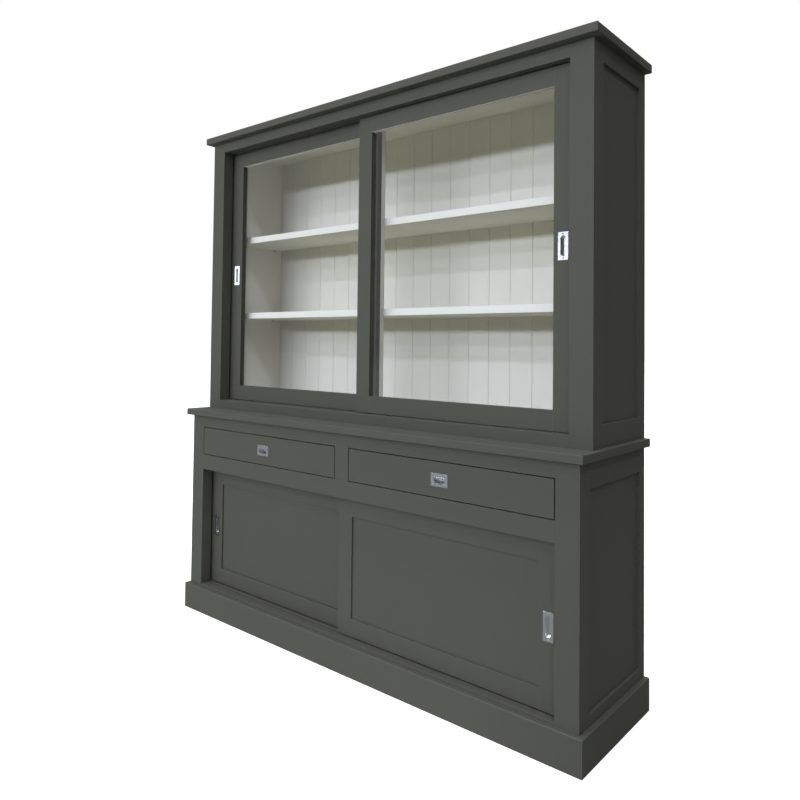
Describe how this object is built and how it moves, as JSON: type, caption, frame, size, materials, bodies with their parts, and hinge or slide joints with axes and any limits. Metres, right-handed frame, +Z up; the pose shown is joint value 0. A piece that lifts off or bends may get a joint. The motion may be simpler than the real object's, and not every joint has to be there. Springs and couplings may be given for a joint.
{
  "type": "china cabinet",
  "caption": "Tall two-part china cabinet: a base with drawers over sliding panelled doors carries a shallower hutch with shelves behind sliding glass doors.",
  "frame": {"origin": "on the floor, under the middle of the cabinet's outer box", "axes": "+X across the width to the viewer's right, +Y from the front to the back, +Z up"},
  "size_m": [2, 0.515, 2.206],
  "materials": {
    "olive_paint": "dark olive-grey satin paint on wood",
    "pale_paint": "pale off-white satin paint on wood",
    "bare_wood": "clear-oiled pale hardwood",
    "clear_glass": "clear polished glass",
    "plated_metal": "bright plated, lightly brushed",
    "guide_plastic": "smooth dark nylon",
    "pin_steel": "plain turned steel"
  },
  "bodies": {
    "carcass": {"base_back_panel": "bare_wood", "base_floor_board": "bare_wood", "base_front_rails": "olive_paint", "base_front_stiles": "olive_paint", "base_partitions": "bare_wood", "base_shelf_cleats": "bare_wood", "base_shelves": "bare_wood", "base_side_frames": "olive_paint", "base_side_linings": "bare_wood", "base_side_panels": "olive_paint", "base_top_board": "olive_paint", "cornice_board": "olive_paint", "door_jambs": "olive_paint", "door_tracks": "olive_paint", "drawer_deck": "bare_wood", "drawer_guides": "bare_wood", "drawer_stile": "olive_paint", "hutch_back_boards": "pale_paint", "hutch_ceiling_board": "pale_paint", "hutch_centre_post": "pale_paint", "hutch_floor_board": "pale_paint", "hutch_front_rails": "olive_paint", "hutch_front_stiles": "olive_paint", "hutch_shelves": "pale_paint", "hutch_side_frames": "olive_paint", "hutch_side_linings": "pale_paint", "hutch_side_panels": "olive_paint", "plinth_boards": "olive_paint", "shelf_pins": "pin_steel", "stacking_tongues": "bare_wood"},
    "hutch_left_door": {"hutch_left_door_glass": "clear_glass", "hutch_left_door_glazing_beads": "olive_paint", "hutch_left_door_guides": "guide_plastic", "hutch_left_door_pull": "plated_metal", "hutch_left_door_rails": "olive_paint", "hutch_left_door_stiles": "olive_paint"},
    "hutch_right_door": {"hutch_right_door_glass": "clear_glass", "hutch_right_door_glazing_beads": "olive_paint", "hutch_right_door_guides": "guide_plastic", "hutch_right_door_pull": "plated_metal", "hutch_right_door_rails": "olive_paint", "hutch_right_door_stiles": "olive_paint"},
    "base_left_door": {"base_left_door_guides": "guide_plastic", "base_left_door_panel": "olive_paint", "base_left_door_pull": "plated_metal", "base_left_door_rails": "olive_paint", "base_left_door_stiles": "olive_paint"},
    "base_right_door": {"base_right_door_guides": "guide_plastic", "base_right_door_panel": "olive_paint", "base_right_door_pull": "plated_metal", "base_right_door_rails": "olive_paint", "base_right_door_stiles": "olive_paint"},
    "left_drawer": {"left_drawer_bottom": "bare_wood", "left_drawer_front": "olive_paint", "left_drawer_pull": "plated_metal", "left_drawer_walls": "bare_wood"},
    "right_drawer": {"right_drawer_bottom": "bare_wood", "right_drawer_front": "olive_paint", "right_drawer_pull": "plated_metal", "right_drawer_walls": "bare_wood"}
  },
  "joints": [
    {"name": "hutch_left_door_slide", "type": "slide", "parent": "carcass", "child": "hutch_left_door", "axis": [1, 0, 0], "range_m": [0, 0.856]},
    {"name": "hutch_right_door_slide", "type": "slide", "parent": "carcass", "child": "hutch_right_door", "axis": [1, 0, 0], "range_m": [-0.856, 0]},
    {"name": "base_left_door_slide", "type": "slide", "parent": "carcass", "child": "base_left_door", "axis": [1, 0, 0], "range_m": [0, 0.856]},
    {"name": "base_right_door_slide", "type": "slide", "parent": "carcass", "child": "base_right_door", "axis": [1, 0, 0], "range_m": [-0.856, 0]},
    {"name": "left_drawer_slide", "type": "slide", "parent": "carcass", "child": "left_drawer", "axis": [0, -1, 0], "range_m": [0, 0.34]},
    {"name": "right_drawer_slide", "type": "slide", "parent": "carcass", "child": "right_drawer", "axis": [0, -1, 0], "range_m": [0, 0.34]}
  ]
}
